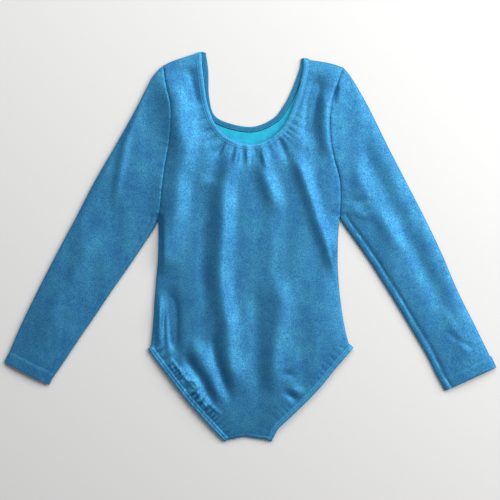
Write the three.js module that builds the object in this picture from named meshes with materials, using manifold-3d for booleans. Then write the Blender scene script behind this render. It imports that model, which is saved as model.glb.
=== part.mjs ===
// A child's long-sleeved gymnastics leotard, laid flat on its back on a level surface.
// Millimetres. +X to the wearer's left, +Y to the neck, +Z up out of the front.
// The origin is on the surface, under the middle of the garment as it lies.
//
// The puffed-up garment is one closed form, the envelope. Every piece is a layer of it, cut out by a
// region in plan: the cloth is the outermost layer, and elastics, turned hems and seams lie inside.
import * as THREE from "three";
import { mergeVertices } from "three/addons/utils/BufferGeometryUtils.js";
import Module from "manifold-3d";

const wasm = await Module();
wasm.setup();

// ---- Driving dimensions, flat measurements in mm ----
const BODY_LENGTH = 504; // higher neck point to crotch
const SHOULDER_WIDTH = 237.5; // tip to tip
const SHOULDER_SLOPE = 18; // fall of the shoulder from neck point to tip
const CHEST_WIDTH = 235.5; // armpit to armpit
const WAIST_WIDTH = 236.6;
const HIP_WIDTH = 259.5; // across the top corners of the leg openings
const NECK_WIDTH = 127.5;
const FRONT_NECK_DEPTH = 109;
const BACK_NECK_DEPTH = 90;
const ARMHOLE_DEPTH = 198;
const WAIST_DROP = 54; // armpit to waist
const SIDE_LENGTH = 173; // armpit to leg opening
const CROTCH_WIDTH = 63;
const SLEEVE_LENGTH = 437; // shoulder tip to cuff, along the outer edge
const CUFF_WIDTH = 68;
const FABRIC = 1.0; // stretch velvet, one layer
const ELASTIC_THICKNESS = 0.8;
const ELASTIC_WIDTH = 7;
const FACING_THICKNESS = 0.8; // the edge turned in over the elastic
const NECK_HEM = 9.5;
const LEG_HEM = 9;
const CUFF_HEM = 16;
const SEAM_WIDTH = 5; // overlocked seam allowance
const THREAD = 0.5; // height of the stitching over the cloth
const THREAD_WIDTH = 0.9;
const GUSSET_LENGTH = 95; // cotton lining, up from the crotch on both faces
const UNDERARM_INSET = 9; // of the sleeve's seam from its inner edge
const CLEARANCE = 0.3; // between touching pieces

// ---- Shapes of the pattern's curves ----
const NECK_SQUARENESS = 2.2; // exponent of the neckline's superellipse, 2 for an ellipse
// Points of the armhole, each a share of the way from tip to armpit and a hollow towards the body.
const ARMHOLE_HOLLOWS = [
  { share: 0.33, depth: 15.3 },
  { share: 0.6, depth: 9.5 },
  { share: 0.8, depth: 2.5 },
];
const BOW_STARTS = 0.12; // share of the sleeve's outer edge at which it has its whole bow
const STEPS = { neck: 24, armhole: 12, side: 6, sleeveOuter: 9, sleeveInner: 4, armpit: 4, roll: 4 };

// ---- How the empty garment lies ----
const PUFF = 14; // height of the front over the surface
const EDGE = 3.6; // height of the roll at a closed edge
const ROLL = 20; // width over which the front comes down to a closed edge
const ARMPIT_RADIUS = 5;
// The limp garment sways from side to side: its middle at each level, towards the wearer's left.
const SWAY = { neck: 3.9, shoulder: 3, chest: -1.3, waist: -3.8, hip: 1, crotch: -2.3 };
// Each side as it lies: the fall of its neck point, its sleeve's swing from straight down, how much
// longer and wider than the pattern the stretch sleeve lies, and the bow of its edges.
const LIE = {
  right: { side: -1, neckFall: 0, swing: 27.9, reach: -3, cuff: -4, tilt: 2.5, outerBow: 6, innerBow: -1.5 },
  left: { side: 1, neckFall: 14, swing: 26.7, reach: 4, cuff: 4, tilt: -4.2, outerBow: 6, innerBow: 6 },
};

// ---- Landmarks in plan ----
const TOP = BODY_LENGTH / 2;
const TIP_Y = TOP - SHOULDER_SLOPE;
const ARMPIT_Y = TIP_Y - ARMHOLE_DEPTH;
const HIP_Y = ARMPIT_Y - SIDE_LENGTH;
const MIDDLE_Z = PUFF / 2;

// ---- Overruns, for the tools that cut the pieces ----
const OUTSIDE = 60; // how far a region runs on past the garment where it isn't the edge
const TIP_LEAN = 4; // how far the armhole's line leans out above the tip
const PAST_HIP = 0.3; // shares of the leg opening's length
const PAST_CROTCH = 0.1;
const PAST_CUFF = 0.5; // share of the cuff's width
const WELD = 1e-3; // vertices nearer than this are one

const point = (x, y) => new THREE.Vector2(x, y);
const along = (a, b, share) => a.clone().lerp(b, share);
const towards = (a, b) => b.clone().sub(a).normalize();

// The point at a share of the way from a to b, pushed out of the line by "out" (left of a to b positive).
function beside(a, b, share, out) {
  const way = towards(a, b);
  return along(a, b, share).add(point(-way.y, way.x).multiplyScalar(out));
}

function landmarks(lie) {
  const s = lie.side;
  const at = (width, sway, y) => point(sway + (s * width) / 2, y);
  const tip = at(SHOULDER_WIDTH, SWAY.shoulder, TIP_Y);
  const swing = THREE.MathUtils.degToRad(lie.swing);
  const down = point(s * Math.sin(swing), -Math.cos(swing));
  const cuffOuter = tip.clone().addScaledVector(down, SLEEVE_LENGTH + lie.reach);
  const across = swing + THREE.MathUtils.degToRad(lie.tilt);
  const inwards = point(-s * Math.cos(across), -Math.sin(across));
  return {
    neck: at(NECK_WIDTH, SWAY.neck, TOP - lie.neckFall),
    tip,
    armpit: at(CHEST_WIDTH, SWAY.chest, ARMPIT_Y),
    waist: at(WAIST_WIDTH, SWAY.waist, ARMPIT_Y - WAIST_DROP),
    hip: at(HIP_WIDTH, SWAY.hip, HIP_Y),
    crotch: at(CROTCH_WIDTH, SWAY.crotch, -TOP),
    cuffOuter,
    cuffInner: cuffOuter.clone().addScaledVector(inwards, CUFF_WIDTH + lie.cuff),
    down,
  };
}

const MARKS = { right: landmarks(LIE.right), left: landmarks(LIE.left) };

// ---- Lines in plan, each a list of points ----
const spline = (points, steps) => new THREE.SplineCurve(points).getSpacedPoints(steps);

// The armhole seam from tip to armpit, hollowed towards the body.
function armhole(side) {
  const { tip, armpit } = MARKS[side];
  const hollow = ({ share, depth }) => beside(tip, armpit, share, LIE[side].side * -depth);
  return spline([tip, ...ARMHOLE_HOLLOWS.map(hollow), armpit], STEPS.armhole);
}

function sideSeam(side) {
  const { armpit, waist, hip } = MARKS[side];
  return spline([armpit, waist, hip], STEPS.side);
}

function sleeveOuter(side) {
  const { tip, cuffOuter } = MARKS[side];
  const bowed = (share) => beside(tip, cuffOuter, share, LIE[side].side * LIE[side].outerBow);
  return spline([tip, bowed(BOW_STARTS), bowed(0.5), cuffOuter], STEPS.sleeveOuter);
}

function sleeveInner(side) {
  const { armpit, cuffInner } = MARKS[side];
  const bow = LIE[side].side * LIE[side].innerBow;
  return spline([armpit, beside(armpit, cuffInner, 0.5, bow), cuffInner], STEPS.sleeveInner);
}

// Half a superellipse between the two neck points, grown by "wider" all round.
function scoop(depth, wider) {
  const power = 2 / NECK_SQUARENESS;
  const points = [];
  for (let i = 0; i <= STEPS.neck; i++) {
    const angle = (Math.PI * i) / STEPS.neck;
    const c = Math.cos(angle);
    const across = -Math.sign(c) * Math.abs(c) ** power;
    const middle = along(MARKS.right.neck, MARKS.left.neck, (1 + across) / 2);
    const fall = Math.max(Math.sin(angle), 0) ** power;
    points.push(point(middle.x + across * wider, middle.y - fall * (depth + wider)));
  }
  return points;
}

// The leg opening from hip to crotch, moved in by "inset" and run on past both ends.
function legLine(side, inset) {
  const { hip, crotch } = MARKS[side];
  const inwards = LIE[side].side * -inset;
  const shares = [-PAST_HIP, 0, 0.25, 0.5, 0.75, 1, 1 + PAST_CROTCH];
  return shares.map((share) => beside(hip, crotch, share, inwards));
}

// The cuff's line, moved up the sleeve by "inset" and run on past both edges.
function cuffLine(side, inset) {
  const { cuffOuter, cuffInner, down } = MARKS[side];
  const up = down.clone().multiplyScalar(-inset);
  return [-PAST_CUFF, 1 + PAST_CUFF].map((share) => along(cuffOuter, cuffInner, share).add(up));
}

// A line moved sideways, left of its direction positive.
function offset(line, distance) {
  return line.map((p, i) => {
    const way = towards(line[Math.max(i - 1, 0)], line[Math.min(i + 1, line.length - 1)]);
    return p.clone().add(point(-way.y, way.x).multiplyScalar(distance));
  });
}

// The strip between two lines that run the same way.
const strip = (line, other) => [...line, ...[...other].reverse()];

// ---- The envelope ----
// The armpit is rounded, because the cloth can't turn a sharp corner there.
function roundedArmpit(side) {
  const { armpit } = MARKS[side];
  const seam = sideSeam(side)[1];
  const sleeve = sleeveInner(side)[1];
  const a = armpit.clone().addScaledVector(towards(armpit, seam), 2 * ARMPIT_RADIUS);
  const b = armpit.clone().addScaledVector(towards(armpit, sleeve), 2 * ARMPIT_RADIUS);
  return new THREE.QuadraticBezierCurve(a, armpit, b).getPoints(STEPS.armpit);
}

// The garment's outline with its open ends run on, so that only closed edges come down.
function halfOutline(side) {
  const m = MARKS[side];
  const pastCuff = m.down.clone().multiplyScalar(OUTSIDE);
  return [
    m.neck,
    ...sleeveOuter(side),
    m.cuffOuter.clone().add(pastCuff),
    m.cuffInner.clone().add(pastCuff),
    ...sleeveInner(side).slice(1).reverse(),
    ...roundedArmpit(side).reverse(),
    ...sideSeam(side).slice(1),
    point(m.hip.x, -TOP),
  ];
}

const OUTLINE = [...halfOutline("left"), ...halfOutline("right").reverse()];

// A three.js geometry as a solid that can be cut and joined, and back.
function solidOf(geometry) {
  const bare = geometry.index ? geometry.toNonIndexed() : geometry.clone();
  bare.deleteAttribute("normal");
  bare.deleteAttribute("uv");
  const merged = mergeVertices(bare, WELD);
  return new wasm.Manifold(
    new wasm.Mesh({
      numProp: 3,
      vertProperties: merged.attributes.position.array,
      triVerts: new Uint32Array(merged.index.array),
    }),
  );
}

function geometryOf(solid) {
  const mesh = solid.getMesh();
  const geometry = new THREE.BufferGeometry();
  geometry.setAttribute("position", new THREE.BufferAttribute(mesh.vertProperties, 3));
  geometry.setIndex(new THREE.BufferAttribute(mesh.triVerts, 1));
  const faceted = geometry.toNonIndexed();
  faceted.computeVertexNormals();
  return faceted;
}

function prism(outline, low, high) {
  const geometry = new THREE.ExtrudeGeometry(new THREE.Shape(outline), {
    depth: high - low,
    bevelEnabled: false,
  });
  return solidOf(geometry.translate(0, 0, low));
}

// The puffed garment, smaller by "inset" all round: upright edges, rolled up to the flat front.
function envelope(inset) {
  const below = 2 * PUFF;
  const geometry = new THREE.ExtrudeGeometry(new THREE.Shape(OUTLINE), {
    depth: below + EDGE,
    bevelThickness: PUFF - EDGE,
    bevelSize: ROLL,
    bevelOffset: -ROLL - inset,
    bevelSegments: STEPS.roll,
  });
  const puffed = solidOf(geometry.translate(0, 0, -below - inset));
  return puffed.trimByPlane([0, 0, 1], inset);
}

// The layer of the envelope between two insets, hollow and open wherever a region cuts it.
const layer = (from, to) => envelope(from).subtract(envelope(to));

// ---- Layers, from the outside in ----
const cloth = layer(0, FABRIC);
const ELASTIC_FROM = FABRIC + CLEARANCE;
const ELASTIC_TO = ELASTIC_FROM + ELASTIC_THICKNESS;
const FACING_FROM = ELASTIC_TO + CLEARANCE;
const FACING_TO = FACING_FROM + FACING_THICKNESS;
const elasticLayer = layer(ELASTIC_FROM, ELASTIC_TO);
const facingLayer = layer(FACING_FROM, FACING_TO);
const SEAM_REACH = ELASTIC_FROM + SEAM_WIDTH; // from the garment's edge to the seam allowance's
const threadLayer = layer(-CLEARANCE - THREAD, -CLEARANCE);
const innerThreadLayer = layer(FACING_TO + CLEARANCE, FACING_TO + CLEARANCE + THREAD);
const BELOW = -1;
const ABOVE = PUFF + 2 * THREAD + CLEARANCE;

// ---- Regions in plan ----
// Out of the armpit, midway between the side seam and the sleeve.
function pastArmpit(side) {
  const { armpit } = MARKS[side];
  const seam = towards(armpit, sideSeam(side)[1]);
  const sleeve = towards(armpit, sleeveInner(side)[1]);
  return armpit.clone().addScaledVector(seam.add(sleeve).normalize(), OUTSIDE / 2);
}

const pastTip = (side) => MARKS[side].tip.clone().add(point(LIE[side].side * TIP_LEAN, OUTSIDE / 2));

// The armhole's line, moved towards the sleeve by "out" and run on past tip and armpit.
function armholeLine(side, out) {
  const line = [pastTip(side), ...armhole(side), pastArmpit(side)];
  return offset(line, LIE[side].side * out);
}

// The whole height of a region, or its part above or below the middle of the garment.
const whole = (outline) => prism(outline, BELOW, ABOVE);
const upper = (outline) => prism(outline, MIDDLE_Z, ABOVE);
const lower = (outline) => prism(outline, BELOW, MIDDLE_Z);

// Everything across the garment between two heights in plan.
const between = (bottom, top) => [
  point(-HIP_WIDTH, bottom),
  point(HIP_WIDTH, bottom),
  point(HIP_WIDTH, top),
  point(-HIP_WIDTH, top),
];

// The neck's scoop grown by "wider", closed above the shoulders.
function neckRegion(depth, wider) {
  const { right, left } = MARKS;
  const above = [point(left.neck.x + wider, TOP + OUTSIDE), point(right.neck.x - wider, TOP + OUTSIDE)];
  return [...scoop(depth, wider), ...above];
}

const neckBand = (extent, depth, from, to) =>
  extent(neckRegion(depth, to)).subtract(whole(neckRegion(depth, from)));

// A band round the neck, at the front's depth in front and at the back's behind.
const neckLoop = (from, to) =>
  neckBand(upper, FRONT_NECK_DEPTH, from, to).add(neckBand(lower, BACK_NECK_DEPTH, from, to));

const legBand = (side, from, to) => strip(legLine(side, from), legLine(side, to));
const cuffBand = (side, from, to) => strip(cuffLine(side, from), cuffLine(side, to));
const edgeBand = (line, reach) => strip(offset(line, -reach), offset(line, reach));

// The body inside its armholes and leg openings.
function bodyRegion() {
  const edge = (side) => [...armholeLine(side, -CLEARANCE / 2), ...legLine(side, 0)];
  return [...edge("right"), ...edge("left").reverse()];
}

const sleeveRegion = (side) => [...armholeLine(side, CLEARANCE / 2), ...cuffLine(side, 0).reverse()];
const crotchRegion = [
  ...legLine("right", LEG_HEM + CLEARANCE).slice(1),
  ...legLine("left", LEG_HEM + CLEARANCE).slice(1).reverse(),
];

// ---- Pieces ----
const leotard = new THREE.Group();
const VELVET = { color: 0x2f7fb8, roughness: 0.45, metalness: 0.35 };
const RUBBER = { color: 0xe8e8e4, roughness: 0.8, metalness: 0 };
const COTTON = { color: 0x9fd8e6, roughness: 0.9, metalness: 0 };
const YARN = { color: 0x58b4d8, roughness: 0.6, metalness: 0 };

function add(name, look, solid) {
  const mesh = new THREE.Mesh(geometryOf(solid), new THREE.MeshStandardMaterial(look));
  mesh.name = name;
  leotard.add(mesh);
}

// How deep an elastic and a line of stitching lie in a hem.
function hemDepths(hem) {
  const elastic = (hem - ELASTIC_WIDTH) / 2;
  const stitch = hem - 2 * THREAD_WIDTH;
  return { elastic: [elastic, elastic + ELASTIC_WIDTH], stitch: [stitch, stitch + THREAD_WIDTH] };
}

// The body: two panels that meet at the shoulders, the sides and the crotch.
function panels() {
  const front = prism(bodyRegion(), FABRIC + CLEARANCE, ABOVE);
  const back = prism(bodyRegion(), BELOW, FABRIC);
  add("front_panel", VELVET, cloth.intersect(front).subtract(whole(neckRegion(FRONT_NECK_DEPTH, 0))));
  add("back_panel", VELVET, cloth.intersect(back).subtract(whole(neckRegion(BACK_NECK_DEPTH, 0))));
}

function neck() {
  const { elastic, stitch } = hemDepths(NECK_HEM);
  add("neck_hem", VELVET, facingLayer.intersect(neckLoop(0, NECK_HEM)));
  add("neck_elastic", RUBBER, elasticLayer.intersect(neckLoop(...elastic)));
  add(
    "front_neck_stitching",
    YARN,
    threadLayer.intersect(neckBand(upper, FRONT_NECK_DEPTH, ...stitch)),
  );
  const clearOfShoulders = whole(between(-TOP, TIP_Y - ROLL));
  add(
    "back_neck_stitching",
    YARN,
    innerThreadLayer.intersect(neckBand(lower, BACK_NECK_DEPTH, ...stitch)).intersect(clearOfShoulders),
  );
}

function crotch() {
  const line = [MARKS.right.crotch, MARKS.left.crotch];
  const seam = elasticLayer.intersect(whole(edgeBand(line, SEAM_REACH)));
  const lining = facingLayer.intersect(whole(between(-TOP - OUTSIDE, -TOP + GUSSET_LENGTH)));
  add("crotch_seam", YARN, seam.intersect(whole(crotchRegion)));
  add("gusset_lining", COTTON, lining.intersect(whole(crotchRegion)));
}

function leg(side) {
  const { elastic, stitch } = hemDepths(LEG_HEM);
  add(side + "_leg_hem", VELVET, facingLayer.intersect(whole(legBand(side, 0, LEG_HEM))));
  add(side + "_leg_elastic", RUBBER, elasticLayer.intersect(whole(legBand(side, ...elastic))));
  add(side + "_leg_stitching", YARN, threadLayer.intersect(upper(legBand(side, ...stitch))));
}

// The seams that close the body. Each stops where the neck's or the leg's hem and the armhole's seam
// begin, with room to turn at the tip and the armpit, where the closed edges bend.
function bodySeams(side) {
  const { neck, tip, armpit, hip } = MARKS[side];
  const slope = towards(neck, tip);
  const shoulder = [
    neck.clone().addScaledVector(slope, NECK_HEM + SEAM_REACH),
    tip.clone().addScaledVector(slope, -2 * SEAM_REACH),
  ];
  const shortOfEnds = whole(between(hip.y + 2 * LEG_HEM, armpit.y - 3 * SEAM_REACH));
  const sideStrip = elasticLayer.intersect(whole(edgeBand(sideSeam(side), SEAM_REACH)));
  add(side + "_shoulder_seam", YARN, elasticLayer.intersect(whole(edgeBand(shoulder, SEAM_REACH))));
  add(side + "_side_seam", YARN, sideStrip.intersect(shortOfEnds));
  const round = strip(armholeLine(side, -SEAM_WIDTH), armholeLine(side, -CLEARANCE));
  add(side + "_armhole_seam", YARN, elasticLayer.intersect(whole(round)));
}

function sleeve(side) {
  const { stitch } = hemDepths(CUFF_HEM);
  add(side + "_sleeve", VELVET, cloth.intersect(whole(sleeveRegion(side))));
  add(side + "_cuff_hem", VELVET, elasticLayer.intersect(whole(cuffBand(side, 0, CUFF_HEM))));
  add(side + "_cuff_stitching", YARN, threadLayer.intersect(upper(cuffBand(side, ...stitch))));

  // The underarm seam lies a little in from the sleeve's inner edge, on the front.
  const inner = offset(sleeveInner(side), LIE[side].side * UNDERARM_INSET);
  const seam = elasticLayer.intersect(upper(edgeBand(inner, SEAM_WIDTH / 2)));
  const aboveCuff = [...armholeLine(side, SEAM_REACH), ...cuffLine(side, CUFF_HEM + CLEARANCE).reverse()];
  add(side + "_sleeve_seam", YARN, seam.intersect(whole(aboveCuff)));
}

panels();
neck();
crotch();
for (const side of ["right", "left"]) {
  leg(side);
  bodySeams(side);
  sleeve(side);
}

// The origin is under the middle of the whole garment.
leotard.position.x = -new THREE.Box3().setFromObject(leotard).getCenter(new THREE.Vector3()).x;

export default leotard;
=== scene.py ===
import math

import bmesh
import bpy
import numpy as np
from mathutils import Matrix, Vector, kdtree, noise
from mathutils.geometry import delaunay_2d_cdt


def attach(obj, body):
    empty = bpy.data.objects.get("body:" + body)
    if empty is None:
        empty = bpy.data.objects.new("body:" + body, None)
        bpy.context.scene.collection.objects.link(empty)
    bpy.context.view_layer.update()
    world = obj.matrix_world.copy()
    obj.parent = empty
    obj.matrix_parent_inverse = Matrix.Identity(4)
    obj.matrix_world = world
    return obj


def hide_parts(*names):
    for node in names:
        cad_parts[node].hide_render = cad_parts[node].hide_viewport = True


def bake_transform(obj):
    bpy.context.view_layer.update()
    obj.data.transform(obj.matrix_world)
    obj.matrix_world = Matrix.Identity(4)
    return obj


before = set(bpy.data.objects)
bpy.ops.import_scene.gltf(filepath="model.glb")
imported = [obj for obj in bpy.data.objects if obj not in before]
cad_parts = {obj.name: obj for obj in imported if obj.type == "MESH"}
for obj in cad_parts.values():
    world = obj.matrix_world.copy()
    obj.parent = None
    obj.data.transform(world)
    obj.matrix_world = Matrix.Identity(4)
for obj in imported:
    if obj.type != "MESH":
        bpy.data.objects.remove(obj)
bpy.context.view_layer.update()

MM = 0.001
SIDES = ("right", "left")
ARM = {"right": "right_arm", "left": "left_arm"}
OUTWARDS = {"right": -1, "left": 1}

# ---- Cloth and trims ----
CLOTH = 0.7  # thickness
ROLL = 2.3  # radius of the cloth's turn at a closed edge
FULLNESS = 8.6  # height of the front where nothing holds it down
GRID = 2.1  # spacing of the cloth's points
FINE_GRID = 1.15  # and where it is gathered
EDGE_STEP = 1.6  # spacing of the points along an edge
LIFT = 0.75  # the lower cloth's height over the floor, which its hems and stitches need
MEETS = 0.45  # half the thickness of a seam at a closed edge
NECK_HEM = 6.4
LEG_HEM = 6.6
CUFF_HEM = 15.0
SEAM_WIDTH = 5.0
GUSSET_LENGTH = 95.0
UNDERARM_INSET = 9.0  # how far the underarm seam shows inside the sleeve's inner edge


# ---- Lines in plan ----
def evenly(line, step):
    """The same line with its points an even step apart."""
    lengths = np.linalg.norm(np.diff(line, axis=0), axis=1)
    along = np.concatenate([[0], np.cumsum(lengths)])
    count = max(2, int(round(along[-1] / step)) + 1)
    at = np.linspace(0, along[-1], count)
    return np.stack([np.interp(at, along, line[:, i]) for i in range(line.shape[1])], axis=1)


def through(points, step=EDGE_STEP):
    """A smooth line through the points."""
    p = np.array(points, float)
    ends = np.vstack([2 * p[0] - p[1], p, 2 * p[-1] - p[-2]])
    line = []
    for i in range(len(p) - 1):
        p0, p1, p2, p3 = ends[i : i + 4]
        t = np.linspace(0, 1, 24, endpoint=False)[:, None]
        line.append(
            0.5 * (2 * p1 + (p2 - p0) * t + (2 * p0 - 5 * p1 + 4 * p2 - p3) * t**2
                   + (3 * p1 - p0 - 3 * p2 + p3) * t**3)
        )
    return evenly(np.vstack(line + [p[-1:]]), step)


def back(line):
    return line[::-1]


def joined(*lines):
    """The lines end to end as one closed outline, without doubled points."""
    points = [lines[0][0]]
    for line in lines:
        for p in line:
            if np.linalg.norm(p - points[-1]) > 0.3:
                points.append(p)
    while np.linalg.norm(points[-1] - points[0]) < 0.3:
        points.pop()
    return np.array(points)


def normals(line):
    """The unit normals of a line, to the left of its direction."""
    ways = np.gradient(line, axis=0)
    ways /= np.linalg.norm(ways, axis=1)[:, None]
    return np.stack([-ways[:, 1], ways[:, 0]], axis=1)


class Near:
    """Distances from points to a line, and how far along the line each lies."""

    def __init__(self, line):
        self.line = evenly(line, 1.0)
        self.tree = kdtree.KDTree(len(self.line))
        for i, p in enumerate(self.line):
            self.tree.insert((p[0], p[1], 0), i)
        self.tree.balance()
        self.length = np.linalg.norm(np.diff(self.line, axis=0), axis=1).sum()

    def __call__(self, xy):
        index = np.array([self.tree.find((x, y, 0))[1] for x, y in xy])
        best = np.full(len(xy), 1e9)
        place = np.zeros(len(xy))
        for step in (-1, 0):
            i = np.clip(index + step, 0, len(self.line) - 2)
            a = self.line[i]
            way = self.line[i + 1] - a
            share = np.clip(((xy - a) * way).sum(1) / (way * way).sum(1), 0, 1)
            away = np.linalg.norm(xy - a - way * share[:, None], axis=1)
            closer = away < best
            best = np.where(closer, away, best)
            place = np.where(closer, i + share, place)
        return best, place * self.length / (len(self.line) - 1)


# Each line runs from the neck down, or from the body out. The two sides lie a little differently.
SHOULDER = {
    "right": through([(-62, 252.6), (-75, 249.6), (-89, 245.2), (-102, 240.6), (-113.5, 235)]),
    "left": through([(70, 243.8), (85, 241.5), (97, 239.6), (110, 236.5), (121.3, 232.6)]),
}
ARMHOLE = {
    "right": through([(-113.5, 235), (-108.4, 206), (-103.6, 184), (-103.2, 161), (-105.8, 133),
                      (-110.6, 107), (-114, 82), (-117.2, 52), (-119.8, 35)]),
    "left": through([(121.3, 232.6), (115.6, 216), (109.8, 197), (105.2, 177), (103.7, 159),
                     (105.8, 133), (109.6, 112), (114.6, 95), (117.4, 78), (117.6, 58), (116.4, 37)]),
}
SLEEVE_OUTER = {
    "right": through([(-113.5, 235), (-121.5, 227.6), (-130.6, 215), (-150, 177), (-176, 130.5),
                      (-203, 84), (-227.4, 37), (-252.4, -10), (-276.5, -57), (-299, -103.5),
                      (-319.4, -151)]),
    "left": through([(121.3, 232.6), (128.6, 224), (139, 208), (156.2, 177), (179, 130.5),
                     (203, 84), (227.2, 37), (249.6, -10), (269.6, -57), (293, -104),
                     (319.2, -157.6)]),
}
SLEEVE_INNER = {
    "right": through([(-119.8, 35), (-126.2, 21.5), (-137, 5), (-157.8, -26), (-180, -57.5),
                      (-201, -89), (-222.4, -120), (-243, -151), (-262.8, -179.6)]),
    "left": through([(116.4, 37), (121.6, 28), (132.4, 13), (154.2, -18), (174, -49), (193.2, -80),
                     (212, -111.5), (230.4, -143), (243.6, -170), (254, -187.4)]),
}
SIDE = {
    "right": through([(-119.8, 35), (-119.6, 10), (-120.2, -15), (-122.6, -45), (-125, -75),
                      (-127, -105), (-130.2, -137)]),
    "left": through([(116.4, 37), (114.2, 12), (113.8, -22), (115.2, -48), (117.6, -72),
                     (121, -95), (125.6, -117), (131, -135)]),
}
LEG = {
    "right": through([(-130.2, -137), (-108.6, -165.6), (-84.8, -196.6), (-57.4, -227.6),
                      (-34.4, -252.6)]),
    "left": through([(131, -135), (110.4, -158.8), (85.6, -188.6), (54.6, -219.4), (36.6, -236.5),
                     (27.8, -252.2)]),
}
CROTCH = through([(-34.4, -252.6), (-21, -250.6), (-7, -247.9), (8, -250), (20, -251.8),
                  (27.8, -252.2)])
NECK_FRONT = through([(-64.4, 252), (-62.4, 228), (-58.4, 196), (-54.2, 178), (-46.8, 160),
                      (-32.8, 143.4), (-12, 134), (9, 132.6), (31.4, 143.2), (47.4, 161.8), (60.6, 194),
                      (68.6, 226), (70, 243.8)])
NECK_BACK = through([(-58.6, 251.8), (-55.4, 229), (-54.4, 196), (-47, 170), (-24, 158.6), (5, 155.2),
                     (30.6, 166.2), (43.8, 182.2), (54.6, 203), (64.6, 230), (67, 243.9)])


def line_between(a, b):
    return evenly(np.array([a[-1], b[-1]], float), EDGE_STEP)


CUFF = {side: line_between(SLEEVE_OUTER[side], SLEEVE_INNER[side]) for side in SIDES}
SHOULDER_BACK = {
    "right": np.vstack([NECK_BACK[:1], SHOULDER["right"][3:]]),
    "left": np.vstack([NECK_BACK[-1:], SHOULDER["left"][2:]]),
}

# Where front and back close on each other, where the edges are open, and the sewn lines.
CLOSED = [Near(line[side]) for line in (SHOULDER, SLEEVE_OUTER, SLEEVE_INNER, SIDE) for side in SIDES]
CROTCH_EDGE = Near(CROTCH)
CLOSED.append(CROTCH_EDGE)
NECK_EDGE = Near(NECK_FRONT)
LEG_EDGE = {side: Near(LEG[side]) for side in SIDES}
CUFF_EDGE = {side: Near(CUFF[side]) for side in SIDES}
ARMHOLE_SEAM = {side: Near(ARMHOLE[side]) for side in SIDES}
UNDERARM = {
    side: SLEEVE_INNER[side] + normals(SLEEVE_INNER[side]) * (OUTWARDS[side] * UNDERARM_INSET)
    for side in SIDES
}
UNDERARM_SEAM = {side: Near(UNDERARM[side]) for side in SIDES}


# ---- The way the cloth lies ----
class Fold:
    """A soft ridge, or a furrow where the height is negative, along a line of a few points."""

    def __init__(self, height, width, *points, ends=0.25):
        self.height, self.width, self.ends = height, width, ends
        self.near = Near(through(points, 4))

    def __call__(self, xy):
        away, along = self.near(xy)
        share = along / self.near.length
        fade = np.clip(np.minimum(share, 1 - share) / self.ends, 0, 1)
        return self.height * np.exp(-((away / self.width) ** 2)) * fade * fade * (3 - 2 * fade)


FOLDS = [
    # the long folds that hang from the chest down the middle
    Fold(8.0, 13, (-18, 136), (-25, 104), (-34, 74), (-36, 20), (-40, -30), (-37, -66), (-29, -113),
         (-28, -140), (-23, -168), (-15, -196), ends=0.12),
    Fold(-1.6, 9, (-50, 96), (-58, 50), (-62, -5), (-60, -50), (-54, -90)),
    Fold(3.4, 10, (-76, -112), (-71, -134), (-62, -154), (-51, -179), (-35, -208)),
    Fold(-5.5, 7, (-84, -136), (-76, -156), (-64, -171), (-56, -186), (-44, -210)),
    Fold(-4.0, 7, (-48, -108), (-46, -140), (-37, -166), (-26, -206)),
    Fold(5.0, 10, (8, 136), (13, 112), (20, 86), (30, 60), (40, 28), ends=0.5),
    Fold(5.0, 12, (34, -30), (40, -75), (36, -115), (30, -155), (24, -195)),
    Fold(-2.4, 11, (6, -40), (8, -110), (10, -165), (16, -205)),
    # the right chest: a broad fold from the shoulder, beside the armhole
    Fold(8.2, 17, (-106, 228), (-100, 196), (-94, 158), (-88, 124), (-97, 84), (-101, 43), (-111, 0),
         (-120, -42), ends=0.12),
    Fold(-3.6, 8, (-80, 236), (-74, 206), (-66, 178)),
    Fold(-2.4, 11, (-46, 134), (-44, 110), (-52, 80)),
    # the left chest, beside the other armhole
    Fold(3.4, 8, (100, 206), (97, 180), (96, 160), (98, 138), (102, 112)),
    Fold(-5.0, 10, (92, 226), (82, 192), (76, 158), (72, 128)),
    # the long ridge down the left side, whose far slope is in the shade
    Fold(5.0, 8.5, (54, 128), (66, 96), (79, 60), (88, 30), (99, 2), (113, -42), ends=0.18),
    # the pair of ridges on the right hip, and the deep furrow beside them
    Fold(4.4, 4.6, (-118, -50), (-118, -92), (-120, -136), ends=0.5),
    Fold(-2.4, 2.6, (-111, -62), (-112, -104), (-110, -144), ends=0.5),
    Fold(2.6, 3.8, (-107, -66), (-108, -106), (-104, -148), ends=0.5),
    Fold(-7.0, 8, (-103, -48), (-101, -88), (-100, -122), (-92, -152), ends=0.4),
    # the cleft in the top of the left armhole
    Fold(-2.6, 2.6, (114, 214), (111, 198), (107, 180), ends=0.4),
    # the right sleeve
    Fold(2.8, 6, (-138, 208), (-146, 186), (-160, 138), (-171, 86), (-177, 38), ends=0.3),
    Fold(1.8, 11, (-176, 124), (-192, 96), (-213, 60), (-236, 10)),
    Fold(3.0, 11, (-194, 30), (-220, -22), (-252, -78), (-278, -128)),
    # the left sleeve: a furrow inside its outer edge, and creases below the armpit and at the wrist
    Fold(-2.4, 12, (132, 168), (148, 128), (172, 78), (197, 28), (224, -25), (252, -80), (272, -125)),
    Fold(1.6, 9, (130, 120), (148, 72), (174, 28), (202, -16)),
    Fold(-0.9, 5, (126, 62), (144, 58), (162, 62)),
    Fold(0.9, 5, (128, 50), (148, 40), (168, 44)),
    Fold(0.8, 6, (246, -72), (262, -104), (280, -134), (290, -150)),
    Fold(-0.9, 4, (254, -108), (270, -122), (292, -134)),
]


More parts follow.
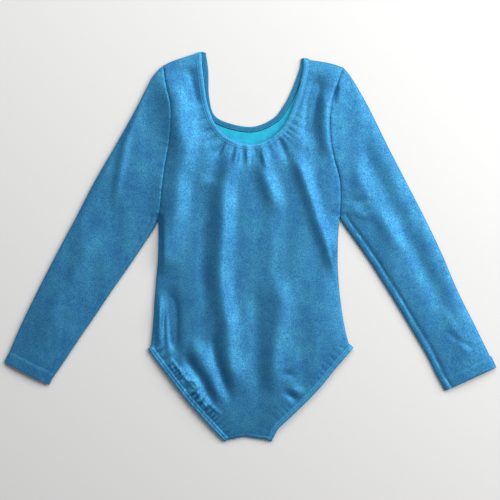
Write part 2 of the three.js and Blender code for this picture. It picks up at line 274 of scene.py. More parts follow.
# Short pleats and crinkles that start at a hem.
PLEATS = [
    # the gathers under the neck
    Fold(3.5, 3.8, (-15, 137), (-17, 122), (-22, 96), ends=0.5),
    Fold(3.2, 3.6, (-2, 137), (-3, 120), (-5, 100), ends=0.5),
    Fold(3.8, 4.0, (14, 137), (17, 120), (23, 96), ends=0.5),
    Fold(-2.0, 3.4, (-44, 156), (-56, 149), (-68, 141), ends=0.5),
    Fold(-2.0, 3.2, (-38, 148), (-50, 138), (-60, 126), ends=0.5),
    Fold(-2.2, 3.2, (-28, 142), (-38, 128), (-46, 112), ends=0.5),
    Fold(-2.4, 4.5, (32, 144), (42, 128), (50, 104), ends=0.4),
    # the ruched cloth that bulges along the right leg's hem
    Fold(1.1, 6.5, (-113, -146), (-91, -174), (-71, -197), (-53, -214), (-40, -227), ends=0.1),
    # its curled crinkles
    Fold(1.3, 2.1, (-96, -155), (-89, -163), (-92, -174), ends=0.3),
    Fold(1.5, 2.1, (-86, -176), (-76, -174), (-69, -181), (-68, -190), ends=0.25),
    Fold(1.3, 2.0, (-79, -188), (-71, -189), (-64, -198), (-59, -203), ends=0.25),
    Fold(1.2, 2.0, (-70, -200), (-62, -202), (-54, -211), ends=0.3),
    Fold(1.1, 2.0, (-101, -146), (-104, -153), (-99, -162), ends=0.3),
    Fold(1.3, 2.4, (-106, -142), (-85, -170), (-64, -193), (-48, -210), (-34, -221), ends=0.12),
    # the pucker beside the left leg's hem
    Fold(-2.4, 4.4, (40, -184), (52, -194), (66, -204), ends=0.5),
    Fold(1.8, 5.5, (46, -179), (60, -188), (74, -196), ends=0.5),
    Fold(-1.4, 4.4, (36, -168), (50, -166), (64, -172), ends=0.5),
]


def smooth(t):
    t = np.clip(t, 0, 1)
    return t * t * (3 - 2 * t)


def eased(away, least, reach):
    """A share that grows from least at an edge to 1 at reach mm from it."""
    return least + (1 - least) * smooth(away / reach)


def noise_at(xy, across, down, seed):
    """Smooth noise from -1 to 1 whose lumps are across by down mm."""
    return np.array([noise.noise((x / across, y / down, seed)) for x, y in xy])


def noise_along(places, length, seed, lane=0.1):
    return np.array([noise.noise((place / length, seed, lane)) for place in places])


def edge_distance(xy):
    return np.min([near(xy)[0] for near in CLOSED], axis=0)


def roll_at(away):
    """From 0 at a closed edge to 1 where the cloth's turn ends."""
    inside = np.clip(1 - away / ROLL, 0, 1)
    return np.sqrt(1 - inside**2)


# How far the cloth is held down near a hem: the share of its rise that is left, and the reach in mm.
HELD_BY_NECK = (0.35, 34)
HELD_BY_LEGS = (0.4, 30)
HELD_BY_CUFFS = (0.6, 26)
DOME = 15.0  # mm in which the cloth rises from a closed edge
SWELL = (1.6, 46, 110, 3.3)  # a wide wave of the whole front: its height, its lumps' size and its seed
WAVES = ((0.9, 19, 150, 9.1), (0.22, 9, 30, 4.4), (0.05, 3.4, 5, 1.7))  # finer and finer ones

# How elastic gathers the cloth: the reach into the cloth, the pleats' pitch, their depth and a seed.
LEG_REACH, LEG_PITCH = 13, 8.4
LEG_RUCHING = {"right": 3.4, "left": 0.3}
NECK_GATHERS = (16, 7.5, 0.8, 6.4)
NECK_SIDES, NECK_FRONT_REACH = 196, 44  # the neck's gathers fade out up the straps


def gathers(xy, near, reach, pitch, height, seed):
    """Pleats across an elastic edge that fade out from it. They aren't evenly spaced."""
    away, along = near(xy)
    wander = noise_along(along, 3.1 * pitch, seed, 0.5)
    strength = noise_along(along, 5.3 * pitch, seed + 7.7, 0.5)
    phase = math.pi * (along / pitch + 1.3 * wander)
    pleats = (2 * np.abs(np.sin(phase)) - 1.2) * eased(away - 4, 0.3, 6)
    return height * np.clip(0.7 + 1.2 * strength, 0.1, 1.5) * pleats * np.exp(-((away / reach) ** 2))


def sewn_creases(xy, away, side):
    """The creases of a side's armhole and underarm seams, which pull at the cloth unevenly."""
    seam, along = ARMHOLE_SEAM[side](xy)
    pucker = noise_along(along, 5.5, 2.2 + OUTWARDS[side])
    pulled = 0.7 * pucker * np.exp(-((seam / 8) ** 2)) - (1.5 + 0.6 * pucker) * np.exp(-seam / 1.3)
    under, along = UNDERARM_SEAM[side](xy)
    pucker = noise_along(along, 6.0, 5.2 + OUTWARDS[side])
    return pulled * smooth(away / 5) - (2.1 + 0.5 * pucker) * np.exp(-under / 1.2)


def front_height(xy, meets=MEETS):
    """The height of the upper cloth's outer face. It ends "meets" over the middle of a closed edge."""
    xy = np.asarray(xy, float)
    away = edge_distance(xy)
    roll = roll_at(away)
    neck = NECK_EDGE(xy)[0]
    legs = np.min([LEG_EDGE[side](xy)[0] for side in SIDES], axis=0)
    cuffs = np.min([CUFF_EDGE[side](xy)[0] for side in SIDES], axis=0)

    dome = 1 - np.exp(-np.clip(away - 0.4 * ROLL, 0, None) / DOME)
    held = eased(neck, *HELD_BY_NECK) * eased(legs, *HELD_BY_LEGS) * eased(cuffs, *HELD_BY_CUFFS)
    rise = FULLNESS - 2 * ROLL + SWELL[0] * noise_at(xy, *SWELL[1:])
    height = ROLL + meets + (ROLL - meets) * roll + dome * rise * held

    folds = np.sum([fold(xy) for fold in FOLDS], axis=0)
    for high, *lumps in WAVES:
        folds += high * noise_at(xy, *lumps)
    height += folds * smooth(away / 9) * eased(np.minimum(neck, legs), 0.2, 17)
    height += np.sum([pleat(xy) for pleat in PLEATS], axis=0) * smooth(away / 6)
    for side in SIDES:
        height += sewn_creases(xy, away, side)
        ruching = (LEG_REACH, LEG_PITCH, LEG_RUCHING[side], 1.5 + OUTWARDS[side])
        height += gathers(xy, LEG_EDGE[side], *ruching) * smooth(away / 6)
    height += gathers(xy, NECK_EDGE, *NECK_GATHERS) * smooth((NECK_SIDES - xy[:, 1]) / NECK_FRONT_REACH)
    height -= 0.5 * np.exp(-(((CROTCH_EDGE(xy)[0] - SEAM_WIDTH - 0.2) / 0.9) ** 2))
    return np.maximum(height, ROLL + meets + 0.6 * (ROLL - meets) * roll)


def back_height(xy, meets=MEETS):
    """The height of the lower cloth's outer face, just over the floor except where it turns up."""
    xy = np.asarray(xy, float)
    roll = roll_at(edge_distance(xy))
    waves = 0.3 * (1 + noise_at(xy, 30, 44, 12.5))
    return LIFT + waves * roll + (ROLL - meets - LIFT) * (1 - roll)


# ---- Meshes ----
def new_object(name, vertices, faces, materials, body):
    mesh = bpy.data.meshes.new(name)
    mesh.from_pydata([tuple(float(c) * MM for c in v) for v in vertices], [], faces)
    mesh.update()
    for material in materials:
        mesh.materials.append(material)
    mesh.polygons.foreach_set("use_smooth", [True] * len(mesh.polygons))
    obj = bpy.data.objects.new(name, mesh)
    bpy.context.scene.collection.objects.link(obj)
    if body:
        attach(obj, body)
    return obj


def inside(xy, outline):
    """Which points lie inside a closed outline."""
    x, y = xy[:, 0], xy[:, 1]
    result = np.zeros(len(xy), bool)
    ax, ay = outline[:, 0], outline[:, 1]
    bx, by = np.roll(ax, -1), np.roll(ay, -1)
    for i in range(len(outline)):
        crosses = (ay[i] > y) != (by[i] > y)
        if by[i] != ay[i]:
            result ^= crosses & (x < (bx[i] - ax[i]) * (y - ay[i]) / (by[i] - ay[i]) + ax[i])
    return result


def even_points(low, high, spacing):
    """The points of an even triangular lattice over a rectangle."""
    columns = np.arange(low[0], high[0], spacing)
    lines = np.arange(low[1], high[1], spacing * math.sqrt(3) / 2)
    return np.array([(x + k % 2 * spacing / 2, y) for k, y in enumerate(lines) for x in columns])


CLOSED_ROWS = (0.12, 0.45, 0.95, 1.6, 2.4, 3.5)  # how far inside the outline the closer rows of points lie


def is_ruched(xy):
    """Whether each point is where the legs' or the neck's elastic gathers the front finely."""
    legs = np.min([LEG_EDGE[side](xy)[0] for side in SIDES], axis=0)
    return (legs < 20) | ((NECK_EDGE(xy)[0] < 24) & (xy[:, 1] < 170))


def triangulated(outline, rows):
    """A plan triangulation of an outline: even points inside, and closer rows along its edge."""
    edge = Near(np.vstack([outline, outline[:1]]))
    inwards = normals(np.vstack([outline[-1:], outline, outline[:1]]))[1:-1]
    after = np.roll(outline, -1, axis=0)
    area = 0.5 * np.sum(outline[:, 0] * after[:, 1] - after[:, 0] * outline[:, 1])
    inwards *= 1 if area > 0 else -1
    extra = []
    for row in rows:
        points = outline + inwards * row
        points = points[inside(points, outline)]
        extra.append(points[edge(points)[0] > 0.93 * row])
    inner = []
    for spacing in (GRID, FINE_GRID):
        lattice = even_points(outline.min(0), outline.max(0), spacing)
        lattice = lattice[inside(lattice, outline)]
        lattice = lattice[edge(lattice)[0] > rows[-1] + 0.45 * spacing]
        inner.append(lattice[is_ruched(lattice) == (spacing == FINE_GRID)])
    points = np.vstack([outline] + extra + inner)
    count = len(outline)
    made = delaunay_2d_cdt([Vector(p) for p in points], [], [list(range(count))], 1, 1e-5)
    return np.array([tuple(v) for v in made[0]]), [tuple(f) for f in made[2]]


def thicken(obj, thickness=CLOTH, inner_material=1):
    """Gives a one-sided cloth its thickness, away from its outer face."""
    solid = obj.modifiers.new("thickness", "SOLIDIFY")
    solid.thickness = thickness * MM
    solid.offset = -1
    solid.material_offset = inner_material
    solid.material_offset_rim = 0


def panel(name, outline, height, faces_up, materials, body):
    points, faces = triangulated(outline, CLOSED_ROWS)
    z = height(points)
    if not faces_up:
        faces = [tuple(reversed(f)) for f in faces]
    obj = new_object(name, np.column_stack([points, z]), faces, materials, body)
    thicken(obj)
    return obj


def tube(name, outline, closed, materials, body):
    """A flattened tube: an upper and a lower cloth that join along the closed lines of the outline."""
    points, faces = triangulated(outline, CLOSED_ROWS)
    near_closed = np.min([line(points)[0] for line in closed], axis=0)
    shared = near_closed < 0.02
    top = front_height(points, 0)
    bottom = back_height(points, 0)
    top[shared] = bottom[shared] = ROLL
    below = np.full(len(points), -1)
    below[shared] = np.nonzero(shared)[0]
    lower_points = np.nonzero(~shared)[0]
    below[lower_points] = len(points) + np.arange(len(lower_points))
    vertices = np.vstack([np.column_stack([points, top]),
                          np.column_stack([points[lower_points], bottom[lower_points]])])
    lower_faces = [tuple(int(below[i]) for i in reversed(f)) for f in faces]
    lower_faces = [f for f in lower_faces if len(set(f)) == 3]
    flat = [f for f in faces if all(shared[i] for i in f)]
    kept = [f for f in faces if f not in flat]
    lower_faces = [f for f in lower_faces if not all(i < len(points) and shared[i] for i in f)]
    obj = new_object(name, vertices, kept + lower_faces, materials, body)
    thicken(obj)
    return obj


# ---- Strips that follow the cloth: hems, elastics and seams ----
# A station is a place on the strip's line: its point, the direction into the cloth, which cloth it lies
# on, and how far it is pushed out past the end of the line. A turn joins the front's strip to the back's.
FRONT, BACK, MIDDLE, TURN = 1, -1, 0, 2


def stations(line, into, cloth, overrun=(0.0, 0.0)):
    """The stations along a line. It runs past its ends by overrun, at the height that it has there."""
    ways = np.gradient(line, axis=0)
    ways /= np.linalg.norm(ways, axis=1)[:, None]
    made = [(p, n, cloth, np.zeros(2)) for p, n in zip(line, into)]
    if overrun[0]:
        made.insert(0, (line[0], into[0], cloth, -ways[0] * overrun[0]))
    if overrun[1]:
        made.append((line[-1], into[-1], cloth, ways[-1] * overrun[1]))
    return made


def turn(end, other_end, further_in):
    """Where a strip turns from one cloth to the other, past a closed edge."""
    way = end[0] + end[3] - further_in[0] - further_in[3]
    return ((end[0] + end[3] + other_end[0] + other_end[3]) / 2, end[1], TURN, way / np.linalg.norm(way))


def loop(front, behind):
    """A whole loop round an opening: along the front, round a closed edge, and back along the back."""
    there = turn(front[-1], behind[0], front[-3])
    back_again = turn(front[0], behind[-1], front[2])
    return front + [there] + behind + [back_again]


# At a closed edge the strips of both cloths are pressed into a thin stack, each layer still in its order.
PRESSED = 0.26  # the share of its height that a section keeps there
DEEPEST = 2.2  # how far below the cloth's outer face a section reaches
CLEAR = 0.12  # what stays free between the two cloths' strips


def placed(station_list, profile):
    """The points of each station's section. The profile is (into the cloth, out of its outer face)."""
    profile = np.array(profile, float)
    plan = np.array([[p + into * a for a in profile[:, 0]] for p, into, _, _ in station_list])
    flat = plan.reshape(-1, 2)
    upper = front_height(flat).reshape(plan.shape[:2])
    lower = back_height(flat).reshape(plan.shape[:2])
    out = np.zeros((*plan.shape[:2], 3))
    squeezed = CLEAR + PRESSED * (profile[:, 1] + DEEPEST)
    for i, (_, _, cloth, push) in enumerate(station_list):
        out[i, :, :2] = plan[i] + (0 if cloth == TURN else push)
        if cloth == FRONT:
            out[i, :, 2] = np.maximum(upper[i] + profile[:, 1], ROLL + squeezed)
        elif cloth == BACK:
            out[i, :, 2] = np.minimum(lower[i] - profile[:, 1], ROLL - squeezed)
        elif cloth == MIDDLE:
            out[i, :, 2] = ROLL + profile[:, 1]
        else:
            out[i, :, :2] += push * (1.6 * squeezed)[:, None]
            out[i, :, 2] = ROLL
    return out


def swept(name, runs, materials, body, ring, closed_path, thickness=0.0):
    """A strip along each run of sections. Its section is a closed ring, or an open line made thick."""
    vertices, faces = [], []
    for sections in runs:
        start, (rows, count) = len(vertices), sections.shape[:2]
        vertices.extend(sections.reshape(-1, 3))
        for i in range(rows if closed_path else rows - 1):
            k = (i + 1) % rows
            for j in range(count if ring else count - 1):
                m = (j + 1) % count
                corners = (i * count + j, i * count + m, k * count + m, k * count + j)
                faces.append(tuple(start + n for n in corners))
        if ring and not closed_path:
            faces.append(tuple(start + j for j in reversed(range(count))))
            faces.append(tuple(start + (rows - 1) * count + j for j in range(count)))
    obj = new_object(name, vertices, faces, materials, body)
    if ring:
        face_outwards(obj)
    elif facing_down(runs[0]):
        obj.data.flip_normals()
    if thickness:
        thicken(obj, thickness, 0)
    return obj


def facing_down(sections):
    """Whether the faces on top of an open strip's first stations would face down."""
    across = sections[2, -4] - sections[2, -5]
    on = sections[3, -5] - sections[2, -5]
    return np.cross(across, on)[2] < 0


def face_outwards(obj):
    made = bmesh.new()
    made.from_mesh(obj.data)
    bmesh.ops.recalc_face_normals(made, faces=made.faces)
    made.to_mesh(obj.data)
    made.free()


def hem_profile(width, crown=0.45):
    """The edge of the cloth turned in over an elastic, from its inner raw edge round to its outer face."""
    under = -CLOTH - 1.45
    return [(width, under + 0.3), (0.7 * width, under), (0.3 * width, under), (0.0, under + 0.2),
            (-0.5, -1.6), (-0.75, -0.8), (-0.6, 0.0), (-0.15, 0.42), (0.18 * width, 0.45 + 0.5 * crown),
            (0.42 * width, 0.5 + crown), (0.66 * width, 0.42 + 0.6 * crown), (0.82 * width, 0.22),
            (0.9 * width, 0.3), (width, 0.34), (width + 0.45, 0.02)]


def grooved_profile(width):
    """A hem that its stitching presses in along the middle and along the inner edge."""
    turned_in = hem_profile(width)[:8]
    return turned_in + [(0.14 * width, 0.8), (0.3 * width, 0.85), (0.4 * width, 0.42), (0.5 * width, 0.42),
                        (0.6 * width, 0.85), (0.76 * width, 0.8), (0.88 * width, 0.3), (width, 0.36),
                        (width + 0.45, 0.02)]


def flat_profile(start, end, top, bottom, steps=4):
    """A closed flat section between two distances into the cloth and two heights over its outer face."""
    across = np.linspace(start, end, steps)
    return [(a, top) for a in across] + [(a, bottom) for a in across[::-1]]


# A stitch's sections: a share of the pitch along it, a share of the radius and a rise in mm.
STITCH = ((0.04, 0.45, -0.2), (0.22, 0.95, 0.04), (0.44, 1, 0.12), (0.66, 0.95, 0.04), (0.84, 0.45, -0.2))
AROUND = 6  # corners of a section


def stitches(name, runs, body, pitch=2.6, radius=0.26):
    """Rows of single stitches along runs of points, each run with +1 or -1 for the way it faces in Z."""
    vertices, faces = [], []
    for run, facing in runs:
        points = evenly(run, pitch)
        for a, b in zip(points[:-1], points[1:]):
            way = (b - a) / np.linalg.norm(b - a)
            side = np.cross(way, (0, 0, 1))
            side /= np.linalg.norm(side)
            up = np.cross(side, way) * facing
            start = len(vertices)
            for share, thick, rise in STITCH:
                for angle in np.linspace(0, 2 * math.pi, AROUND, endpoint=False):
                    spoke = side * math.cos(angle) + up * math.sin(angle)
                    vertices.append(a + (b - a) * share + up * rise + radius * thick * spoke)
            last = start + AROUND * (len(STITCH) - 1)
            for ring in range(start, last, AROUND):
                for j in range(AROUND):
                    k = (j + 1) % AROUND
                    faces.append((ring + j, ring + k, ring + AROUND + k, ring + AROUND + j))
            faces.append(tuple(start + j for j in reversed(range(AROUND))))
            faces.append(tuple(last + j for j in range(AROUND)))
    obj = new_object(name, vertices, faces, [THREAD], body)
    face_outwards(obj)
    return obj


def row(station_list, into, out):
    """The points of a stitch line on stations, "into" from the edge and "out" of the cloth's outer face."""
    return placed([at for at in station_list if at[2] != TURN], [(into, out)])[:, 0, :]


# ---- Materials ----
def nodes_of(name):
    material = bpy.data.materials.new(name)
    material.use_nodes = True
    tree = material.node_tree
    return material, tree.nodes, tree.links, tree.nodes["Principled BSDF"]


def ramp(nodes, links, source, *stops):
    """A colour ramp over a value. Each stop is (position, colour)."""
    node = nodes.new("ShaderNodeValToRGB")
    elements = node.color_ramp.elements
    while len(elements) < len(stops):
        elements.new(0.5)
    for element, (position, colour) in zip(elements, stops):
        element.position = position
        element.color = (*colour, 1)
    links.new(source, node.inputs[0])
    return node.outputs[0]


def grey(value):
    return (value, value, value)


def textured(nodes, links, scale, detail=3.0, roughness=0.5, kind="ShaderNodeTexNoise"):
    """A texture in object space whose lumps are about 1/scale metres."""
    where = nodes.new("ShaderNodeTexCoord").outputs["Object"]
    node = nodes.new(kind)
    node.inputs["Scale"].default_value = scale
    if kind == "ShaderNodeTexNoise":
        node.inputs["Detail"].default_value = detail
        node.inputs["Roughness"].default_value = roughness
    links.new(where, node.inputs["Vector"])
    return node


def mixed(nodes, links, share, a, b, mode="MIX"):
    node = nodes.new("ShaderNodeMix")
    node.data_type = "RGBA"
    node.blend_type = mode
    for socket, value in ((node.inputs[0], share), (node.inputs[6], a), (node.inputs[7], b)):
        if isinstance(value, bpy.types.NodeSocket):
            links.new(value, socket)
        else:
            socket.default_value = value if isinstance(value, float) else (*value, 1)
    return node.outputs[2]


def bumped(nodes, links, shader, *layers):
    """Stacks bumps of (height socket, strength, distance in mm) onto a shader."""
    normal = None
    for height, strength, distance in layers:
        bump = nodes.new("ShaderNodeBump")
        bump.inputs["Strength"].default_value = strength
        bump.inputs["Distance"].default_value = distance * MM
        links.new(height, bump.inputs["Height"])
        if normal is not None:
            links.new(normal, bump.inputs["Normal"])
        normal = bump.outputs["Normal"]
    links.new(normal, shader.inputs["Normal"])


GRAIN, CLOUDS, FLECKS = 640, 46, 1500  # the foil's scales, in lumps per metre


def foil_velvet(name, pile, foil, clouding=0.4):
    """Stretch velvet printed with a broken film of foil: fine bright flecks over a soft, cloudy pile."""
    material, nodes, links, shader = nodes_of(name)
    grain = textured(nodes, links, GRAIN, 4, 0.7).outputs["Fac"]
    clouds = textured(nodes, links, CLOUDS, 6, 0.68).outputs["Fac"]
    flecks = textured(nodes, links, FLECKS, kind="ShaderNodeTexVoronoi").outputs["Color"]
    film = ramp(nodes, links, grain, (0.34, grey(0.28)), (0.62, grey(1.0)))
    worn = ramp(nodes, links, clouds, (0.34, grey(1.0 - clouding)), (0.66, grey(1.0)))
    covered = mixed(nodes, links, 1.0, film, worn, "MULTIPLY")
    glint = ramp(nodes, links, flecks, (0.5, grey(0.93)), (0.9, grey(1.08)))
    base = mixed(nodes, links, covered, pile, foil)
    links.new(mixed(nodes, links, 1.0, base, glint, "MULTIPLY"), shader.inputs["Base Color"])
    for socket, bare, coated in (("Metallic", 0.5, 0.92), ("Roughness", 0.62, 0.57)):
        value = ramp(nodes, links, covered, (0.0, grey(bare)), (1.0, grey(coated)))
        links.new(value, shader.inputs[socket])
    shader.inputs["Specular IOR Level"].default_value = 0.3
    shader.inputs["Specular Tint"].default_value = (0.3, 0.8, 1.0, 1)
    shader.inputs["Sheen Weight"].default_value = 0.25
    shader.inputs["Sheen Roughness"].default_value = 0.4
    shader.inputs["Sheen Tint"].default_value = (0.05, 0.55, 1.0, 1)
    bumped(nodes, links, shader, (clouds, 0.3, 0.7), (grain, 0.3, 0.2))
    return material


def knit(name, deep, bright, pitch, roughness=0.75):
    """A plain jersey: rows of small loops, for the reverse of the velvet and for cotton."""
    material, nodes, links, shader = nodes_of(name)
    rows = textured(nodes, links, pitch, kind="ShaderNodeTexWave")
    rows.inputs["Distortion"].default_value = 1.5
    rows.inputs["Detail"].default_value = 1
    soft = textured(nodes, links, 90, 4, 0.6).outputs["Fac"]
    colour = ramp(nodes, links, soft, (0.3, deep), (0.7, bright))
    shade = ramp(nodes, links, rows.outputs["Fac"], (0.0, grey(0.86)), (1.0, grey(1.0)))
    links.new(mixed(nodes, links, 1.0, colour, shade, "MULTIPLY"), shader.inputs["Base Color"])
    shader.inputs["Roughness"].default_value = roughness
    shader.inputs["Specular IOR Level"].default_value = 0.2
    bumped(nodes, links, shader, (rows.outputs["Fac"], 0.35, 0.2), (soft, 0.2, 0.5))
    return material


VELVET = foil_velvet("foil_velvet", (0.006, 0.044, 0.265), (0.072, 0.358, 0.525))
BAND = foil_velvet("foil_velvet_on_elastic", (0.012, 0.085, 0.28), (0.085, 0.41, 0.66), 0.25)
# A darker copy of the band's velvet: painted shade for the back's neck band, which lies low inside the
# opening, under the front.
SHADED_TURNED_IN = foil_velvet("foil_velvet_turned_in_painted_shade", (0.012, 0.09, 0.20), (0.04, 0.25, 0.42), 0.25)
REVERSE = knit("velvet_reverse", (0.012, 0.34, 0.52), (0.022, 0.46, 0.66), 900)
COTTON = knit("cotton_jersey", (0.16, 0.5, 0.62), (0.26, 0.62, 0.74), 1000, 0.9)
THREAD = knit("polyester_thread", (0.05, 0.33, 0.62), (0.10, 0.50, 0.80), 2600, 0.5)
OVERLOCK = knit("overlock_thread", (0.04, 0.38, 0.62), (0.1, 0.55, 0.8), 1500, 0.7)
ELASTIC = knit("woven_elastic", (0.72, 0.72, 0.7), (0.86, 0.86, 0.84), 1100, 0.8)

# ---- The camera and the light ----
VIEW_WIDTH = 0.650  # what the photo's side spans on the surface
LENS = 85
SENSOR = 36
EYE = (-0.0003, -0.0048, 0.005 + VIEW_WIDTH * LENS / SENSOR)
# Each light's place and diameter in metres, and its watts. The photo is lit from its right and its top.
KEY = ((1.4, 0.6, 1.15), 1.6, 44)
WINDOW = ((-0.1, 1.6, 1.4), 1.6, 29)
FLOOR_REACH = 3.0


def camera():
    data = bpy.data.cameras.new("camera")
    data.lens = LENS
    data.sensor_width = SENSOR
    obj = bpy.data.objects.new("camera", data)
    obj.location = EYE
    bpy.context.scene.collection.objects.link(obj)
    bpy.context.scene.camera = obj


def area_light(name, place, size, power):
    data = bpy.data.lights.new(name, "AREA")
    data.shape = "DISK"
    data.size = size
    data.energy = power
    obj = bpy.data.objects.new(name, data)
    obj.location = place
    obj.rotation_euler = (-Vector(place)).to_track_quat("-Z", "Y").to_euler()
    bpy.context.scene.collection.objects.link(obj)


def studio():
    area_light("key", *KEY)
    area_light("window", *WINDOW)
    world = bpy.data.worlds.new("studio")
    world.use_nodes = True
    background = world.node_tree.nodes["Background"]
    background.inputs["Color"].default_value = (0.90, 0.94, 1.0, 1)
    background.inputs["Strength"].default_value = 0.29
    bpy.context.scene.world = world
    bpy.context.scene.view_settings.view_transform = "Standard"
    mesh = bpy.data.meshes.new("floor")
    corners = [(x * FLOOR_REACH, y * FLOOR_REACH, 0) for x, y in ((-1, -1), (1, -1), (1, 1), (-1, 1))]
    mesh.from_pydata(corners, [], [(0, 1, 2, 3)])
    floor = bpy.data.objects.new("floor", mesh)
    bpy.context.scene.collection.objects.link(floor)
    material, nodes, links, shader = nodes_of("pale_floor")
    shader.inputs["Base Color"].default_value = (0.645, 0.638, 0.622, 1)
    shader.inputs["Roughness"].default_value = 0.9
    shader.inputs["Specular IOR Level"].default_value = 0.1
    mesh.materials.append(material)


camera()
studio()


# ---- Build ----
def stands_for(piece, node):
    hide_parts(node)
    return piece


def follow_fold(piece):
    """Bakes the piece's placement into its mesh."""
    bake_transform(piece)


def trimmed(line, start, end):
    """The line without its first start and last end mm."""
    return line[int(round(start / EDGE_STEP)) : len(line) - int(round(end / EDGE_STEP))]


def inwards(line, side):
    return normals(line) * -OUTWARDS[side]


def body_outline(shoulder, neck_line):
    """Round the body from the right of the neck: down one side, across the crotch and up the other."""
    down = [lines["right"] for lines in (shoulder, ARMHOLE, SIDE, LEG)]
    up = [back(lines["left"]) for lines in (LEG, SIDE, ARMHOLE, shoulder)]
    return joined(*down, CROTCH, *up, back(neck_line))


def front_of_body():
    outline = body_outline(SHOULDER, NECK_FRONT)
    cloth = panel("front_of_body", outline, front_height, True, [VELVET, REVERSE], "bodice")
    return stands_for(cloth, "front_panel")


def back_of_body():
    outline = body_outline(SHOULDER_BACK, NECK_BACK)
    cloth = panel("back_of_body", outline, back_height, False, [VELVET, REVERSE], "bodice")
    return stands_for(cloth, "back_panel")


TURNED_CLOTH = 0.35  # the thickness of a hem's stretched cloth
ON_HEM = 0.42  # how high stitches sit over the outer face, on a hem
INSIDE_HEM = -CLOTH - 1.9  # and on the hem's inner side


def hem(name, around, profile, materials, node):
    strip = swept(name, [placed(around, profile)], materials, "bodice", False, True, TURNED_CLOTH)
    return stands_for(strip, node)


def elastic(name, around, width, node):
    runs = [placed(around, flat_profile(0.5, width - 0.9, -CLOTH - 0.25, -CLOTH - 0.95))]
    return stands_for(swept(name, runs, [ELASTIC], "bodice", True, True), node)


def neck():
    front = stations(NECK_FRONT, -normals(NECK_FRONT), FRONT)
    behind_line = back(NECK_BACK)
    behind = stations(behind_line, normals(behind_line), BACK)
    around = loop(front, behind)
    band = hem("neck_band", around, hem_profile(NECK_HEM, 0.3), [BAND, SHADED_TURNED_IN], "neck_hem")
    # The band's faces lower than the closed edges, along the back, take the darker copy: painted shade.
    for face in band.data.polygons:
        face.material_index = int(face.center.z < ROLL * MM)
    core = elastic("neck_band_elastic", around, NECK_HEM, "neck_elastic")
    sewn_at = NECK_HEM * 0.82
    sewn = stitches("neck_front_stitches", [(row(front, sewn_at, ON_HEM), 1)], "bodice")
    stands_for(sewn, "front_neck_stitching")
    rows = [(row(behind, sewn_at, INSIDE_HEM), 1), (row(behind, sewn_at, ON_HEM), -1)]
    inner = stands_for(stitches("neck_back_stitches", rows, "bodice"), "back_neck_stitching")
    return [band, core, sewn, inner]


LEG_OVERRUN = (3.4, 1.2)  # how far a leg band sticks out past the hip and past the crotch


def leg(side):
    line = LEG[side]
    front = stations(line, inwards(line, side), FRONT, LEG_OVERRUN)
    behind = stations(back(line), -inwards(back(line), side), BACK, LEG_OVERRUN[::-1])
    around = loop(front, behind)
    band = hem(side + "_leg_band", around, grooved_profile(LEG_HEM), [BAND], side + "_leg_hem")
    core = elastic(side + "_leg_band_elastic", around, LEG_HEM, side + "_leg_elastic")
    rows = [(row(at, LEG_HEM * share, ON_HEM), facing)
            for at, facing in ((front, 1), (behind, -1)) for share in (0.45, 0.9)]
    sewn = stitches(side + "_leg_stitches", rows, "bodice", 2.4)
    return [band, core, stands_for(sewn, side + "_leg_stitching")]


def seam_strip(name, runs, node, body):
    strip = swept(name, runs, [OVERLOCK], body, True, False)
    return stands_for(strip, node)


# Sections of the overlocked seams: between the two cloths at a closed edge, and the heights under one.
BETWEEN_CLOTHS = flat_profile(0.8, SEAM_WIDTH + 0.5, 0.4, -0.4)
UNDER_CLOTH = (-CLOTH - 0.12, -CLOTH - 0.75)


def body_seams(side):
    made = []
    for kind, line in (("shoulder", trimmed(SHOULDER[side], 10, 6)), ("side", trimmed(SIDE[side], 12, 10))):
        runs = [placed(stations(line, inwards(line, side), MIDDLE), BETWEEN_CLOTHS)]
        made.append(seam_strip(f"{side}_{kind}_overlock", runs, f"{side}_{kind}_seam", "bodice"))
    line = trimmed(ARMHOLE[side], 4, 4)
    section = flat_profile(0.4, SEAM_WIDTH + 0.4, *UNDER_CLOTH)
    runs = [placed(stations(line, inwards(line, side), cloth), section) for cloth in (FRONT, BACK)]
    made.append(seam_strip(side + "_armhole_overlock", runs, side + "_armhole_seam", "bodice"))
    return made


def crotch():
    line = trimmed(CROTCH, 8, 8)
    runs = [placed(stations(line, normals(line), MIDDLE), BETWEEN_CLOTHS)]
    seam = seam_strip("crotch_overlock", runs, "crotch_seam", "bodice")
    return [seam, gusset()]


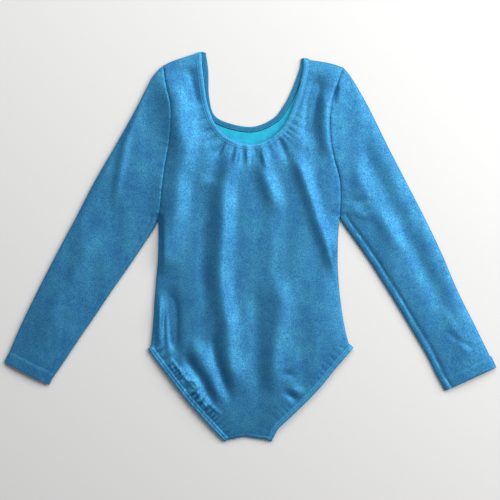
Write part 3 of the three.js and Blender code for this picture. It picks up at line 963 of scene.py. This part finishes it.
def gusset():
    """The cotton lining between the leg hems, inside the front and inside the back."""
    top = CROTCH[:, 1].mean() + GUSSET_LENGTH
    edges = {}
    for side in SIDES:
        line = LEG[side] + inwards(LEG[side], side) * (LEG_HEM + 0.6)
        edges[side] = line[line[:, 1] < top]
    low = CROTCH + (0, 1.6)
    low = low[(low[:, 0] > edges["right"][-1, 0] + 1) & (low[:, 0] < edges["left"][-1, 0] - 1)]
    ends = np.array([edges["left"][0], edges["right"][0]])
    outline = joined(edges["right"], low, back(edges["left"]), evenly(ends, EDGE_STEP))
    points, faces = triangulated(outline, (0.6, 1.6))
    upper = np.maximum(front_height(points) - CLOTH - 0.9, ROLL + 0.6)
    lower = np.minimum(back_height(points) + CLOTH + 0.14, ROLL - 0.6)
    count = len(points)
    vertices = np.vstack([np.column_stack([points, upper]), np.column_stack([points, lower])])
    below = [tuple(count + i for i in reversed(f)) for f in faces]
    obj = new_object("gusset_cotton", vertices, faces + below, [COTTON], "bodice")
    thicken(obj, 0.45, 0)
    return stands_for(obj, "gusset_lining")


def cuff_profile(width):
    return [(width, -1.15), (0.5 * width, -1.15), (0.3, -1.15), (-0.3, -0.95), (-0.5, -0.45), (-0.4, 0.0),
            (0.0, 0.26), (0.15 * width, 0.32), (0.4 * width, 0.3), (0.7 * width, 0.28), (0.84 * width, 0.24),
            (0.89 * width, 0.08), (0.94 * width, 0.22), (width, 0.2), (width + 0.6, 0.0)]


def sleeve(side):
    outline = joined(ARMHOLE[side], SLEEVE_INNER[side], back(CUFF[side]), back(SLEEVE_OUTER[side]))
    closed = [Near(SLEEVE_INNER[side]), Near(SLEEVE_OUTER[side])]
    cloth = tube(side + "_sleeve_cloth", outline, closed, [VELVET, REVERSE], None)
    follow_fold(stands_for(cloth, side + "_sleeve"))

    line = CUFF[side]
    front = stations(line, inwards(line, side), FRONT)
    behind = stations(back(line), -inwards(back(line), side), BACK)
    runs = [placed(loop(front, behind), cuff_profile(CUFF_HEM))]
    band = swept(side + "_cuff_band", runs, [VELVET], ARM[side], False, True, TURNED_CLOTH)
    stands_for(band, side + "_cuff_hem")
    rows = [(row(at, CUFF_HEM * 0.89, 0.16), facing) for at, facing in ((front, 1), (behind, -1))]
    sewn = stitches(side + "_cuff_stitches", rows, ARM[side])
    stands_for(sewn, side + "_cuff_stitching")

    line = trimmed(UNDERARM[side], 9, CUFF_HEM + 3)
    section = flat_profile(-SEAM_WIDTH / 2, SEAM_WIDTH / 2, *UNDER_CLOTH)
    runs = [placed(stations(line, inwards(line, side), FRONT), section)]
    seam = seam_strip(side + "_underarm_overlock", runs, side + "_sleeve_seam", None)
    follow_fold(seam)
    return cloth, [band, sewn, seam]


front = front_of_body()
rear = back_of_body()
band, core, front_row, back_row = neck()
lining_seam, lining = crotch()
trims = [piece for side in SIDES for piece in leg(side) + body_seams(side)]
for side, area in (("right", 0.071), ("left", 0.073)):
    cloth, on_it = sleeve(side)
